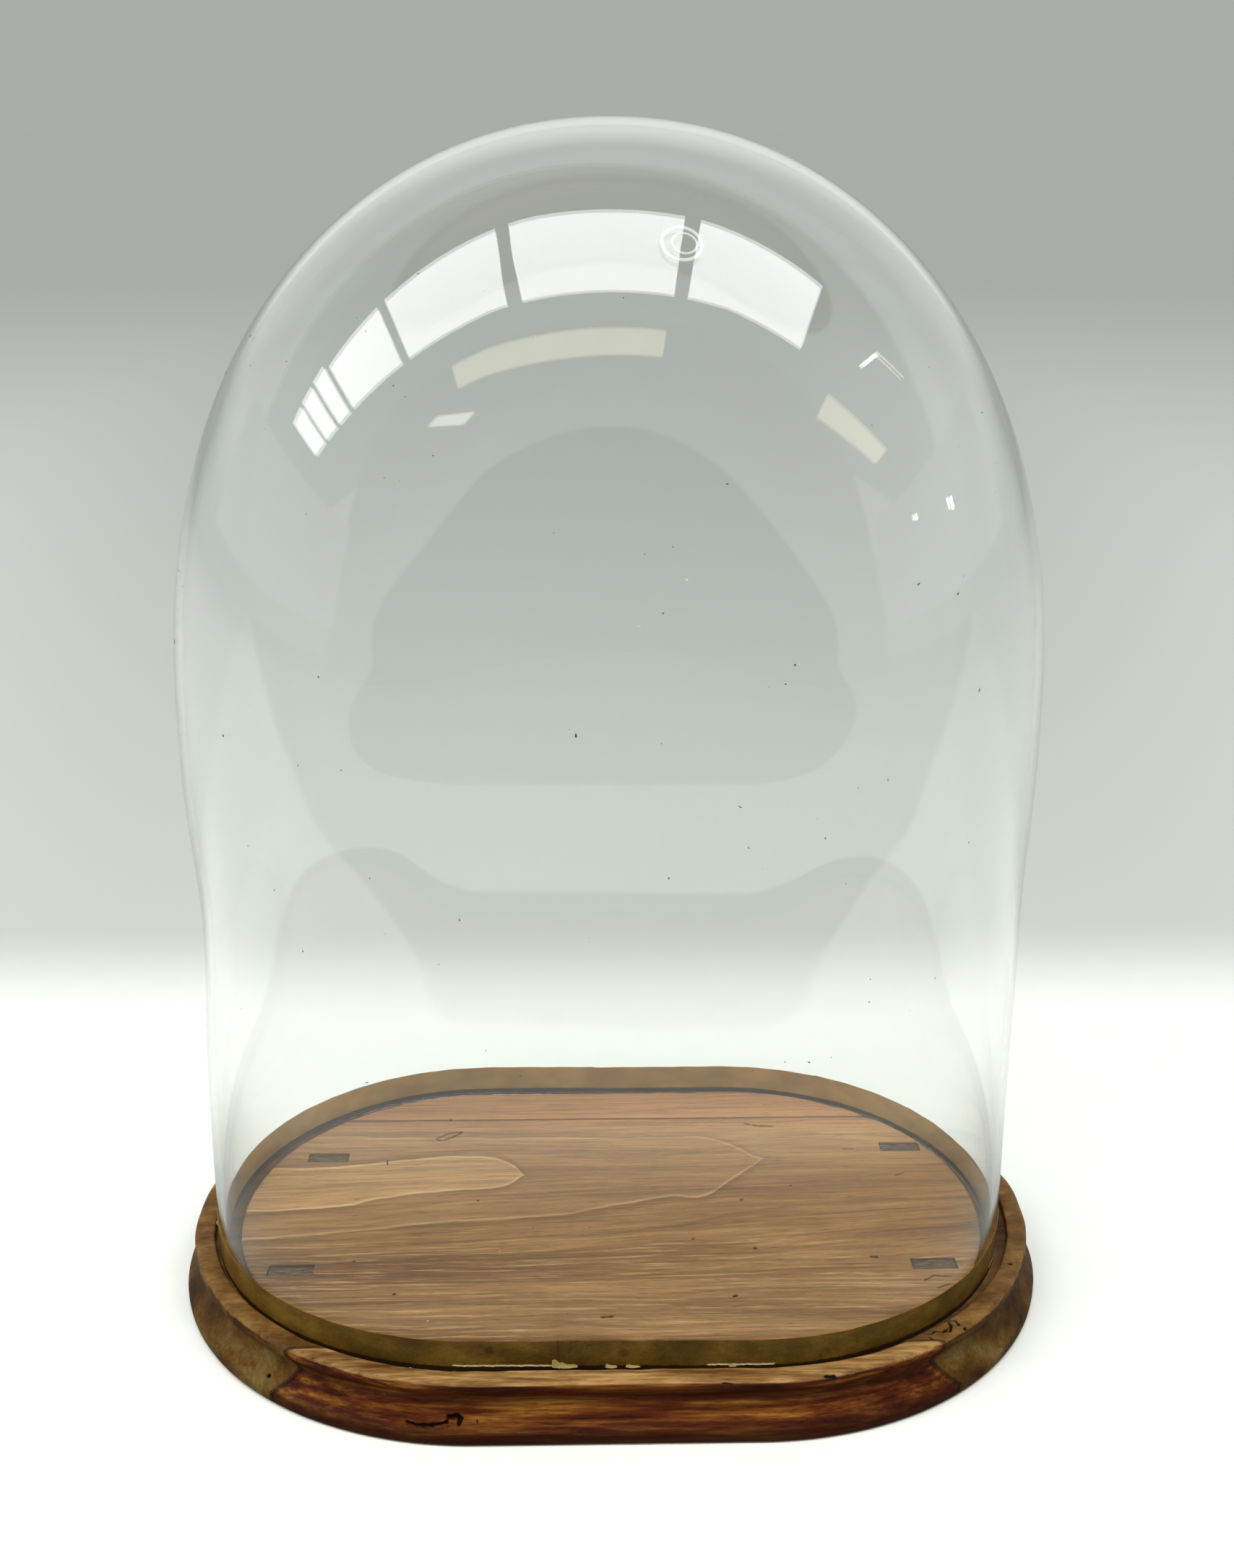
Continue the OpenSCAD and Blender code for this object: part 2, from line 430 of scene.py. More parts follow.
def card(name, corners, colour, strength, lights_room=True):
    """A glowing flat card that the glass mirrors. Unless lights_room is true it does nothing else."""
    s = Shader(name)
    surface = s.node("ShaderNodeEmission", {"Color": colour, "Strength": strength}).outputs[0]
    if not lights_room:
        surface = s.either(s.mirrored(), s.clear(), surface)
    ob = make_object(name, corners, [tuple(range(len(corners)))], s.finish(surface))
    ob.visible_camera = False
    ob.visible_shadow = False
    ob.visible_diffuse = lights_room


def pane(name, x0, x1, y0, y1, power, colour=(1.0, 1.0, 1.0)):
    """A rectangular soft lamp overhead, facing down; power is per square metre."""
    data = bpy.data.lights.new(name, "AREA")
    data.shape = "RECTANGLE"
    data.size = (x1 - x0) * MM
    data.size_y = (y1 - y0) * MM
    data.energy = power * data.size * data.size_y
    data.color = colour
    ob = bpy.data.objects.new(name, data)
    ob.location = Vector(((x0 + x1) / 2, (y0 + y1) / 2, LAMP_Z)) * MM
    bpy.context.scene.collection.objects.link(ob)


# The room: heights of the ceiling, its darker end, the glints and the lamps; where the end wall
# and the side walls stand; and its colours and powers
CEILING_Z = 2480
DARK_END_Z = 2470
GLINT_Z = 2390
LAMP_Z = 2400
END_Y = -3280
SIDE_X = 3400
SIDE_HEIGHTS = (500, 1500)
CEILING_COLOUR = srgb(150, 155, 152)
GLINT_COLOUR = (1.0, 0.98, 0.90, 1.0)
STRIP_COLOUR = (1.0, 0.93, 0.60)
WINDOW_POWER = 21.5
STRIP_POWER = 8.5
# Left and right edge of each window pane in turn, their near edge, and the far edges of the first
# three and of the rest
WINDOW_EDGES = (-4950, -4420, -4330, -3880, -3780, -3400, -3290, -2130, -2010, -780, -670, 490, 595, 1840)
WINDOW_NEAR, WINDOW_FAR = -1450, (-150, -310)
# Front edge of the darker end of the ceiling
DARK_END = ((-4600, -3280), (-4400, -3130), (-3070, -2270), (-2200, -2080), (-1240, -1950), (400, -1950),
            (1600, -2020), (2860, -2560), (4000, -3280))
# Small lamps and gaps in blinds, which only show as glints: corners, and strength.
# A corner without a height is at GLINT_Z
GLINTS = (
    (((-2150, -2880), (-1915, -2770), (-1310, -3120), (-1530, -3300)), 4.0),
    (((2730, -905), (2800, -900), (2960, -440), (2890, -430)), 9.0),
    (((2890, -480), (3650, -250), (3650, -215), (2890, -430)), 5.0),
    (((1470, -3690), (1530, -3690), (1530, -3620), (1470, -3620)), 9.0),
    (((1960, -3590), (2080, -3560), (2080, -3500), (1960, -3540)), 9.0),
    (((2650, -3480), (2730, -3460), (2730, -3400), (2650, -3420)), 9.0),
    (((3300, -260, 1000), (3300, -180, 1000), (3300, -180, 1090), (3300, -260, 1090)), 40.0),
    (((3300, -1270, 1180), (3300, -1200, 1180), (3300, -1200, 1230), (3300, -1270, 1230)), 30.0),
)


def upright(corners, low, high):
    """Four corners of a wall between two places on the floor."""
    (x0, y0), (x1, y1) = corners
    return [(x0, y0, low), (x1, y1, low), (x1, y1, high), (x0, y0, high)]


def make_lights():
    """A row of window panes overhead, two warm strips, a darker ceiling and a pale wall at each side."""
    ceiling = ((-7000, -3300), (-7000, 1500), (7000, -300), (7000, -3300))
    card("ceiling", [(*p, CEILING_Z) for p in ceiling], CEILING_COLOUR, 0.88)
    end = upright(((-4600, END_Y), (4000, END_Y)), 5, DARK_END_Z)
    card("room_end", end, CEILING_COLOUR, 0.45, False)
    card("ceiling_end", [(*p, DARK_END_Z) for p in DARK_END], CEILING_COLOUR, 0.40, False)
    for name, x in (("wall_left", -SIDE_X), ("wall_right", SIDE_X)):
        card(name, upright(((x, -2600), (x, 1500)), *SIDE_HEIGHTS), (1.0, 1.0, 1.0, 1.0), 0.62)
    for k, (x0, x1) in enumerate(zip(WINDOW_EDGES[::2], WINDOW_EDGES[1::2])):
        pane(f"window_{k}", x0, x1, WINDOW_NEAR, WINDOW_FAR[k > 2], WINDOW_POWER)
    for k, (corners, glow) in enumerate(GLINTS):
        card(f"glint_{k}", [(*p, GLINT_Z)[:3] for p in corners], GLINT_COLOUR, glow, False)
    pane("strip_left", -1500, 470, -2460, -2000, STRIP_POWER, STRIP_COLOUR)
    pane("strip_right", 2450, 4300, -2450, -1850, STRIP_POWER, STRIP_COLOUR)


# ---- wood
# Growth-ring outlines on the platform as (x, y) points in millimetres
ISLAND_TOP = ((-200, 34), (-153, 35), (-122, 37), (-88, 43), (-61, 45), (-49, 42), (-42, 36), (-38, 28),
              (200, 28))
ISLAND_LOW = ((-200, -2), (-156, 0), (-118, 3), (-99, 10), (-64, 16), (-50, 18), (-43, 22), (-38, 28),
              (200, 28))
ARCH_TOP = ((-200, 66), (-60, 62), (19, 60), (46, 60), (56, 53), (70, 41), (200, 41))
ARCH_LOW = ((-200, -28), (-127, -19), (-73, -11), (-19, -4), (25, 8), (40, 9), (53, 22), (63, 33), (70, 41),
            (200, 41))
# Dark growth lines: points, half width and strength
LINES = (
    (((-200, -36), (-60, -24), (24, -15), (42, -9), (58, -4), (83, 2), (157, 6), (200, 7)), 0.7, 0.9),
    (((-200, -50), (-103, -39), (-40, -34), (15, -27), (80, -20), (152, -18), (200, -18)), 0.6, 0.6),
    (((-200, 92), (-91, 88), (-19, 84), (78, 93), (200, 84)), 0.5, 0.5),
    (((-200, 80), (-91, 79), (20, 75), (125, 78), (200, 79)), 0.5, 0.4),
    (((-200, -74), (-60, -66), (40, -60), (130, -64), (200, -70)), 0.5, 0.45),
    (((-200, -88), (-60, -82), (40, -78), (130, -80), (200, -86)), 0.4, 0.3),
)


# Fields of the grain: bumps to the millimetre along and across it, detail and roughness
GRAIN = {"broad": (0.004, 0.055, 2.0, 0.5), "band": (0.006, 0.30, 3.0, 0.6), "fibre": (0.030, 0.8, 5.0, 0.75),
         "silver": (0.022, 0.55, 6.0, 0.75), "pore": (0.14, 2.4, 2.0, 0.5)}


def grain(s, seed):
    """Fields of a fine hardwood whose grain runs along X: broad bands, fibres, silver flecks and pores."""
    shift = (seed * 37.0, seed * 11.0, seed * 5.0)
    x, y, z = s.xyz(s.place())
    wander = s.spots((0.010, 0.03, 0.03), 2.0, shift=shift)
    # The grain leans a little over the middle of the base
    rise = s.mul(s.mul(x, -0.09), s.step(s.abs(s.add(y, 8.0)), 62.0, 0.0))
    flow = s.add(s.mul_add(wander, 7.0, -3.5), s.add(y, rise))
    deep = s.add(z, seed * 13.0)
    fields = {"x": x, "y": y, "z": z}
    for name, (along, across, detail, rough) in GRAIN.items():
        vector = s.join(s.mul(x, along), s.mul(flow, across), s.mul(deep, across))
        fields[name] = s.noise(vector, detail, rough)
    return fields


def platform_colour(s, g):
    """Bare brown wood under the glass, with its island and arch of early wood."""
    x, y = g["x"], g["y"]
    colour = s.ramp(g["broad"], (0.34, 104, 72, 44), (0.5, 122, 88, 54), (0.66, 136, 100, 62))
    colour = s.mix(s.step(y, 15.0, 75.0, 0.0, 0.6), colour, srgb(166, 130, 92))
    colour = s.times(colour, s.step(x, -130.0, 120.0, 0.90, 1.08))
    streaks = s.mul(s.step(g["silver"], 0.50, 0.64), s.step(y, 10.0, -45.0, 0.25, 0.85))
    colour = s.mix(streaks, colour, srgb(158, 126, 84))
    wob = s.mul_add(s.spots((0.05, 0.05, 0.05), 3.0), 4.0, -2.0)
    yy = s.add(y, wob)
    for top, low, light, body, rim in ((ARCH_TOP, ARCH_LOW, srgb(140, 104, 70), 0.40, 0.45),
                                       (ISLAND_TOP, ISLAND_LOW, srgb(158, 122, 82), 0.75, 0.75)):
        over = s.sub(s.outline(x, top), yy)
        under = s.sub(yy, s.outline(x, low))
        inside = s.min(over, under)
        shade = s.mul(s.step(inside, -7.0, -0.4), s.step(inside, 0.1, -0.3))
        colour = s.mix(s.mul(shade, 0.8), colour, s.times(colour, 0.74))
        colour = s.mix(s.step(inside, -0.3, 0.4, 0.0, body), colour, light)
        line = s.mul(s.step(inside, -0.2, 0.5), s.step(inside, 2.6, 0.9))
        colour = s.mix(s.mul(line, rim), colour, srgb(178, 144, 104))
    for points, width, depth in LINES:
        off = s.sub(s.outline(x, points), yy)
        dark = s.mul(s.step(off, -width, 0.0), s.step(off, width * 7.0, 0.0))
        colour = s.mix(s.mul(dark, depth * 0.5), colour, s.times(colour, 0.5))
    red = s.mix(1.0, colour, srgb(246, 218, 208), "MULTIPLY")
    return s.mix(s.step(y, 58.0, 82.0, 0.0, 0.6), colour, red)


def rim_colour(s, ends):
    """Waxed top of the rim: golden along the front and back, browner across the ends."""
    if ends:
        patch = s.spots((0.05, 0.08, 0.08), 6.0, 0.68, shift=(5.0, 2.0, 0.0))
        return s.ramp(patch, (0.36, 72, 48, 20), (0.5, 98, 68, 32), (0.64, 122, 90, 48))
    patch = s.spots((0.03, 0.26, 0.26), 6.0, 0.68, shift=(5.0, 2.0, 0.0))
    return s.ramp(patch, (0.36, 82, 52, 22), (0.5, 122, 90, 50), (0.64, 160, 124, 78))


def side_colour(s, z, ends):
    """Deep stain on the moulding, its colours made darker still as painted shade on the sides: red-brown
    along the grain, olive and mottled where the end grain shows, with painted shade under the lip and towards
    the foot.
    """
    if ends:
        blot = s.spots((0.05, 0.04, 0.06), 5.0, 0.65, shift=(2.0, 7.0, 1.0))
        tick = s.spots((0.6, 0.9, 0.2), 3.0, 0.6, shift=(1.0, 4.0, 2.0))
        colour = s.ramp(blot, (0.34, 42, 24, 4), (0.46, 66, 42, 10), (0.56, 84, 58, 18),
                        (0.68, 100, 82, 44))
        return s.mix(s.step(tick, 0.4, 0.62, 0.0, 0.5), colour, s.times(colour, 0.6))
    patch = s.spots((0.016, 0.10, 0.24), 6.0, 0.66, shift=(8.0, 1.0, 3.0))
    colour = s.ramp(patch, (0.36, 36, 10, 2), (0.47, 66, 26, 6), (0.56, 96, 54, 14),
                    (0.68, 140, 96, 36))
    # Painted shade: a dark band in the hollow under the lip
    lip = s.mul(s.step(z, 22.6, 20.6), s.step(z, 12.5, 16.5))
    colour = s.mix(s.mul(lip, 0.6), colour, srgb(52, 20, 6))
    # Painted shade: darker towards the foot, where the moulding turns under
    return s.mix(s.step(z, 9.0, 4.0, 0.0, 0.85), colour, srgb(38, 12, 3))


def board_material(name, seed, ends):
    """One board's wood. ends is true for the middle board, whose rim shows its end grain."""
    s = Shader(name)
    g = grain(s, seed)
    x, y, z = g["x"], g["y"], g["z"]
    r = radial(s, x, y)
    colour = platform_colour(s, g)
    on_rim = s.mul(s.step(r, GROOVE_OUT - 0.5, GROOVE_OUT + 0.3), s.step(z, 23.6, 24.6))
    lip_z = s.add(z, s.mul_add(g["band"], 1.8, -0.9))
    on_side = s.mul(s.step(r, GROOVE_OUT + 1.0, GROOVE_OUT + 3.0), s.step(lip_z, 24.5, 23.7))
    colour = s.mix(on_rim, colour, rim_colour(s, ends))
    colour = s.mix(on_side, colour, side_colour(s, z, ends))
    under = s.step(z, 0.9, 0.2)
    colour = s.mix(under, colour, s.ramp(g["broad"], (0.35, 120, 90, 60), (0.65, 156, 122, 84)))
    # Fibres and flecks over all of it
    deep = 0.4 if ends else 0.8
    plain = s.step(s.max(on_rim, on_side), 0.0, 1.0, 1.0, deep)
    band = s.mul(s.step(g["band"], 0.38, 0.62, -0.09, 0.09), plain)
    fibre = s.mul(s.step(g["fibre"], 0.38, 0.62, -0.19, 0.19), plain)
    colour = s.times(colour, s.add(1.0, s.add(band, fibre)))
    pore = s.step(g["pore"], 0.37, 0.29)
    colour = s.mix(s.mul(pore, 0.55), colour, s.times(colour, 0.4))
    # Old stain and painted shade in the groove, dark glue lines, and painted shade wherever the surface is
    # broken
    # Painted shade in the recess of the groove, over its old dark stain
    groove = s.mul(s.step(z, 25.1, 24.2), s.step(r, GROOVE_OUT + 0.7, GROOVE_OUT + 0.1))
    groove = s.mul(groove, s.step(z, 10.0, 20.0))
    colour = s.mix(s.mul(groove, 0.85), colour, srgb(48, 28, 14))
    floor_light = s.mul(groove, s.step(s.spots((0.03, 0.08, 0.08), 3.0), 0.48, 0.6))
    colour = s.mix(s.mul(floor_light, 0.3), colour, srgb(120, 84, 46))
    for joint in (FRONT_JOINT, BACK_JOINT):
        seam = s.step(s.abs(s.sub(y, joint)), 1.1, 0.45)
        colour = s.mix(s.mul(seam, s.step(z, 0.5, 2.0, 0.0, 0.8)), colour, s.times(colour, 0.25))
    # Painted shade: the dents, holes, cracks and chips are near black
    broken = s.attribute("broken")
    colour = s.mix(broken, colour, srgb(26, 14, 8))
    waxed = s.max(on_rim, on_side)
    scuff = s.spots((0.25, 0.25, 0.25), 4.0, 0.7)
    rough = s.add(s.step(waxed, 0.0, 1.0, 0.58, 0.36), s.step(scuff, 0.35, 0.75, 0.0, 0.16))
    height = s.sub(s.mul_add(g["fibre"], 0.6, s.mul(g["band"], 0.4)), pore)
    return s.finish(s.principled(Base_Color=colour, Roughness=rough, Normal=s.bump(height, 0.16, 0.9),
                                 Specular_IOR_Level=0.07))


def outer_rows():
    """The moulded section as (distance out from the middle line, height), from the platform's edge down."""
    top, low = BOARD_T, GROOVE_Z
    rows = [(GROOVE_IN - out, top - down)
            for out, down in ((2.2, 0.0), (1.0, 0.0), (0.45, 0.06), (0.15, 0.22), (0.0, 0.55))]
    rows += [(GROOVE_IN, low + 0.3), (GROOVE_IN + 0.3, low), (GROOVE_IN + 3.5, low)]
    rows += [(GROOVE_OUT - 3.5, low), (GROOVE_OUT - 0.3, low), (GROOVE_OUT, low + 0.3)]
    rows += [(GROOVE_OUT + out, top - down)
             for out, down in ((0.0, 0.6), (0.16, 0.24), (0.5, 0.06), (1.1, 0.0))]
    # The flat rim, its rounded edge and the small lip
    lip, soft = END_R + LIP_OUT, 2.0
    rows += [(r, top) for r in np.linspace(GROOVE_OUT + 2.2, lip - 3.1, 4)]
    for a in np.linspace(0, 1.45, 7):
        rows.append((lip - soft + soft * math.sin(a), top - soft + soft * math.cos(a)))
    rows += [(lip, top - 2.9), (lip - 0.04, top - 3.7)]
    # The hollow below it, and the flare down to the foot
    for t in np.linspace(0.06, 1.0, 9):
        rows.append((lip - 3.2 * math.sin(math.pi / 2 * t), top - 4.0 - 5.5 * t))
    for t in np.linspace(0.1, 1.0, 12):
        flare = 0.5 * (1.0 - math.cos(math.pi / 2 * t)) + 0.5 * t
        rows.append((lip - 3.2 + 7.0 * flare, top - 9.5 - 11.0 * t))
    foot = END_R + FOOT_OUT
    rows += [(foot, 4.0), (foot, 3.0)]
    for a in np.linspace(0.0, math.pi / 2, 6):
        rows.append((foot - soft + soft * math.cos(a), soft - soft * math.sin(a)))
    rows += [(foot - 3.4, 0.0), (foot - 5.5, 0.0)]
    return rows


def fill_flat(loop, spacing, margin, z, up):
    """Triangles that fill a flat loop with an even grid of points inside it."""
    count = len(loop)
    x0, y0 = loop.min(axis=0)
    x1, y1 = loop.max(axis=0)
    inner = []
    rng = random.Random(5)
    for gx in np.arange(x0 + margin, x1 - margin, spacing):
        for gy in np.arange(y0 + margin, y1 - margin, spacing):
            px, py = gx + rng.uniform(-0.2, 0.2) * spacing, gy + rng.uniform(-0.2, 0.2) * spacing
            if math.hypot(max(abs(px) - STRAIGHT, 0.0), py) < loop[:, 1].max() - margin:
                inner.append(Vector((px, py)))
    points = [Vector(p) for p in loop] + inner
    edges = [(i, (i + 1) % count) for i in range(count)]
    verts, _, faces, *_ = geometry.delaunay_2d_cdt(points, edges, [], 1, 1e-6)
    return [(v[0], v[1], z) for v in verts], faces if up else turned(faces)


def slab_mesh():
    """The whole moulded and grooved slab, before it is cut into boards."""
    stations = 744
    rows = outer_rows()
    verts, faces = [], []
    for r, z in rows:
        verts += [(x, y, z) for x, y in stadium(stations, 0.113, r)]
    for k in range(len(rows) - 1):
        faces += turned(ring_faces(k * stations, (k + 1) * stations, stations))
    for row, spacing, z, up in ((0, 2.6, BOARD_T, True), (len(rows) - 1, 6.0, 0.0, False)):
        loop = np.array([v[:2] for v in verts[row * stations:(row + 1) * stations]])
        flat, tris = fill_flat(loop, spacing, spacing * 0.7, z, up)
        start = len(verts)
        index = {i: row * stations + i for i in range(stations)}
        index.update({i: start + i - stations for i in range(stations, len(flat))})
        verts += flat[stations:]
        faces += [tuple(index[i] for i in f) for f in tris]
    bm = bmesh.new()
    made = [bm.verts.new(v) for v in verts]
    for f in faces:
        bm.faces.new([made[i] for i in f])
    bmesh.ops.recalc_face_normals(bm, faces=bm.faces)
    bm.normal_update()
    return bm


# Breaks in the wood as (points, half width, depth), each a line of one or more points on its surface.
# A point without a height is on the top face
BREAKS = (
    # worm holes and pin marks on the platform
    (((-73.9, 78.9),), 1.0, 1.2), (((-5.4, -80.2), (-2.0, -79.9)), 0.8, 1.2),
    (((47.8, -66.5),), 1.0, 1.2), (((58.8, -32.0),), 0.9, 1.2), (((56.4, 6.1),), 0.7, 0.9),
    (((106.6, -39.6), (108.6, -39.5)), 0.7, 1.0), (((-88.2, -62.8),), 0.7, 0.9),
    (((-106.8, -38.7),), 0.6, 0.8), (((-57.8, 7.2),), 0.6, 0.8), (((33.5, -24.6),), 0.6, 0.8),
    # shakes, a bruise and knife marks on the platform
    (((63.3, 72.9), (69.0, 70.6), (76.5, 69.9)), 0.55, 0.9),
    (((-79.5, 61.0), (-77.0, 59.6), (-72.0, 62.4), (-67.6, 67.2)), 0.45, 0.5),
    (((-79.5, 61.0), (-74.0, 66.0), (-67.6, 67.6)), 0.3, 0.35),
    (((-99.8, 38.4), (-100.2, 41.6)), 0.35, 0.5),
    (((106.5, 48.5), (111.5, 48.4)), 0.3, 0.4), (((127.0, 25.0), (131.5, 27.0)), 0.3, 0.4),
    (((125.0, -57.0), (129.1, -53.9), (136.0, -54.5)), 0.3, 0.4),
    (((129.0, -62.5), (134.0, -60.0), (141.1, -60.0)), 0.3, 0.4),
    # the knot torn open on the front's foot
    (((-80.0, -122.0, 8.6), (-76.0, -122.4, 7.4), (-70.0, -123.6, 7.8), (-64.5, -123.4, 9.0)), 0.6, 1.6),
    (((-64.0, -122.4, 10.8), (-60.5, -122.4, 11.2), (-59.4, -122.8, 10.0), (-59.8, -123.8, 8.2)), 0.9, 2.2),
    (((-64.4, -124.4, 6.4), (-64.0, -123.8, 7.4)), 0.5, 1.2),
    (((-53.0, -123.4, 9.6), (-52.8, -124.0, 7.8)), 0.4, 1.0),
    # short grain lifting on the right of the front rim
    (((115.8, -96.6), (118.0, -94.6), (121.6, -94.8), (123.4, -92.6), (126.4, -93.6),
      (128.8, -91.4)), 0.5, 1.0),
    (((126.4, -93.6), (129.4, -93.0), (130.4, -89.0), (129.0, -86.4), (132.6, -86.2),
      (133.4, -89.0)), 0.5, 1.0),
    (((120.6, -97.0), (122.6, -99.2, 24.6)), 0.5, 1.0), (((136.0, -90.9, 24.6),), 0.9, 1.4),
    # chips and nicks along the lip
    (((77.8, -120.4, 24.9), (80.4, -119.9, 24.4), (81.2, -121.0, 22.8)), 0.9, 1.1),
    (((38.7, -122.5, 23.9), (42.0, -122.6, 23.6)), 0.6, 0.8), (((-135.2, -93.5, 8.9),), 0.9, 1.5),
    (((162.5, -47.0, 25.2),), 0.9, 1.2), (((-15.0, -125.6, 5.0), (-13.0, -125.9, 4.6)), 0.6, 0.8),
    (((-52.0, 119.6, 25.0), (-48.0, 121.0, 24.4)), 0.9, 1.1),
    (((61.0, 124.6, 7.0), (70.0, 124.0, 7.6)), 0.5, 1.1),
    (((-160.0, 58.0, 9.0), (-161.5, 54.0, 8.0)), 0.5, 1.0), (((171.0, 22.0, 23.5),), 0.9, 1.0),
)


def reach(points, line):
    """How far each point lies from a line of one or more points."""
    best = np.full(len(points), 1e9)
    ends = [np.array((*p, BOARD_T)[:3]) for p in line]
    for a, b in zip(ends, ends[1:] or ends):
        along = b - a
        size = max(float(along @ along), 1e-9)
        t = np.clip((points - a) @ along / size, 0.0, 1.0)
        best = np.minimum(best, np.linalg.norm(points - (a + t[:, None] * along), axis=1))
    return best


def refine(bm):
    """Splits the mesh finer round each break."""
    for target in (1.6, 0.8, 0.42):
        bm.edges.ensure_lookup_table()
        ends = np.array([(e.verts[0].co[:], e.verts[1].co[:]) for e in bm.edges])
        mid, long = ends.mean(axis=1), np.linalg.norm(ends[:, 0] - ends[:, 1], axis=1)
        chosen = np.zeros(len(mid), dtype=bool)
        for line, width, _ in BREAKS:
            chosen |= reach(mid, line) < width + 1.2 + target
        picked = [bm.edges[i] for i in np.nonzero(chosen & (long > target))[0]]
        bmesh.ops.subdivide_edges(bm, edges=picked, cuts=1, use_grid_fill=True)
        bmesh.ops.triangulate(bm, faces=[f for f in bm.faces if len(f.verts) > 4])


def wear(bm):
    """Uneven faces, soft arrises, dents and breaks, cut along each point's own normal."""
    refine(bm)
    bm.normal_update()
    points = np.array([v.co[:] for v in bm.verts])
    normals = np.array([v.normal[:] for v in bm.verts])
    out = np.hypot(np.maximum(np.abs(points[:, 0]) - STRAIGHT, 0.0), points[:, 1])
    # Long and short unevenness, but none on the underside, which stays flat
    depth = 0.10 * waves(points, 42.0, 1) + 0.04 * waves(points, 9.0, 2)
    depth *= ease((points[:, 2] - 0.2) / 1.5)
    # The lip and the edges of the groove are worn round
    lip = np.exp(-((out - (END_R + LIP_OUT - 0.6)) / 1.6) ** 2) * (points[:, 2] > 20.0)
    depth -= lip * np.clip(0.22 + 0.3 * waves(points, 15.0, 3), 0.0, 0.7)
    arris = np.exp(-((np.minimum(np.abs(out - GROOVE_OUT), np.abs(out - GROOVE_IN))) / 0.8) ** 2)
    depth -= arris * (points[:, 2] > 24.5) * np.clip(0.25 * waves(points, 7.0, 4), 0.0, 0.5)
    broken = np.zeros(len(points))
    ragged = 1.0 + 0.35 * waves(points, 1.6, 5)
    for line, width, deep in BREAKS:
        share = np.clip(1.3 - reach(points, line) / (width * ragged), 0.0, 1.0)
        depth -= deep * ease(share)
        broken = np.maximum(broken, ease(share * 1.4))
    layer = bm.verts.layers.float.new("broken")
    moved = points + normals * depth[:, None]
    for v, p, b in zip(bm.verts, moved, broken):
        v.co = p
        v[layer] = b


def cut_block(name, low, high):
    """A block with rounded upright corners, used to cut the mortises and trenches."""
    bm = bmesh.new()
    bmesh.ops.create_cube(bm, size=1.0)
    for v in bm.verts:
        v.co = [low[i] if v.co[i] < 0 else high[i] for i in range(3)]
    edges = [e for e in bm.edges if abs(e.verts[0].co.z - e.verts[1].co.z) > 1.0]
    bmesh.ops.bevel(bm, geom=edges, offset=CUT_CORNER, segments=3, affect="EDGES", profile=0.5)
    return bpy.data.objects.new(name, to_mesh(bm, name))


def take_away(ob, cutters):
    """Cuts the cutters out of an object and leaves a plain mesh."""
    holder = bpy.data.collections.new("cutters")
    bpy.context.scene.collection.children.link(holder)
    for c in cutters:
        holder.objects.link(c)
    mod = ob.modifiers.new("cut", "BOOLEAN")
    mod.operand_type = "COLLECTION"
    mod.collection = holder
    mod.solver = "EXACT"
    bpy.context.view_layer.update()
    mesh = bpy.data.meshes.new_from_object(ob.evaluated_get(bpy.context.evaluated_depsgraph_get()))
    ob.modifiers.clear()
    ob.data = mesh
    for c in cutters:
        bpy.data.objects.remove(c)
    bpy.data.collections.remove(holder)


def bisect(bm, y, toward, **how):
    """Cuts a mesh at an upright plane across Y that faces the given way."""
    geom = bm.verts[:] + bm.edges[:] + bm.faces[:]
    plane = {"plane_co": (0, y, 0), "plane_no": (0, toward, 0)}
    return bmesh.ops.bisect_plane(bm, geom=geom, dist=1e-5, **plane, **how)


def trim(bm, y, keep):
    """Saws the slab off at a glue joint, closes it and sinks the joint's top edge; keep is the side kept."""
    cut = bisect(bm, y, -keep, clear_outer=True)
    edges = [e for e in cut["geom_cut"] if isinstance(e, bmesh.types.BMEdge)]
    bmesh.ops.triangle_fill(bm, edges=edges, use_beauty=True, normal=(0, -keep, 0))
    for e in edges:
        for v in e.verts:
            if v.co.z > 23.0 and v.normal.z > 0.5:
                v.co.z -= 0.10


def cut_joinery(ob):
    """Cuts the battens' trenches and the pegs' mortises out of the middle board."""
    out, half, wide, thick = BATTEN
    px, py, _ = PEG
    cutters = []
    for side in (-out, out):
        cutters.append(cut_block("trench", (side - wide, -half, -2), (side + wide, half, thick)))
    for cx, cy in PEG_PLACES.values():
        cutters.append(cut_block("mortise", (cx - px, cy - py, 5), (cx + px, cy + py, BOARD_T + 3)))
    take_away(ob, cutters)
    smooth(ob.data)


def make_boards():
    """The slab, sawn into its three boards."""
    slab = slab_mesh()
    wear(slab)
    # Extra rows of points close to each glue joint
    for y in (FRONT_JOINT, BACK_JOINT):
        for side in (-0.35, 0.35):
            bisect(slab, y + side, 1)
    for name, joints, seed in (("front", ((FRONT_JOINT, -1.0),), 1.3),
                               ("middle", ((FRONT_JOINT, 1.0), (BACK_JOINT, -1.0)), 1.0),
                               ("back", ((BACK_JOINT, 1.0),), 1.7)):
        bm = slab.copy()
        for y, keep in joints:
            trim(bm, y, keep)
        bmesh.ops.recalc_face_normals(bm, faces=bm.faces)
        mat = board_material(f"stripped_wood_{name}", seed, name == "middle")
        ob = finish_object(f"board_{name}", to_mesh(bm, f"board_{name}"), mat)
        if name == "middle":
            cut_joinery(ob)
        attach(ob, "base")
        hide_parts(f"{name}_board")
    slab.free()


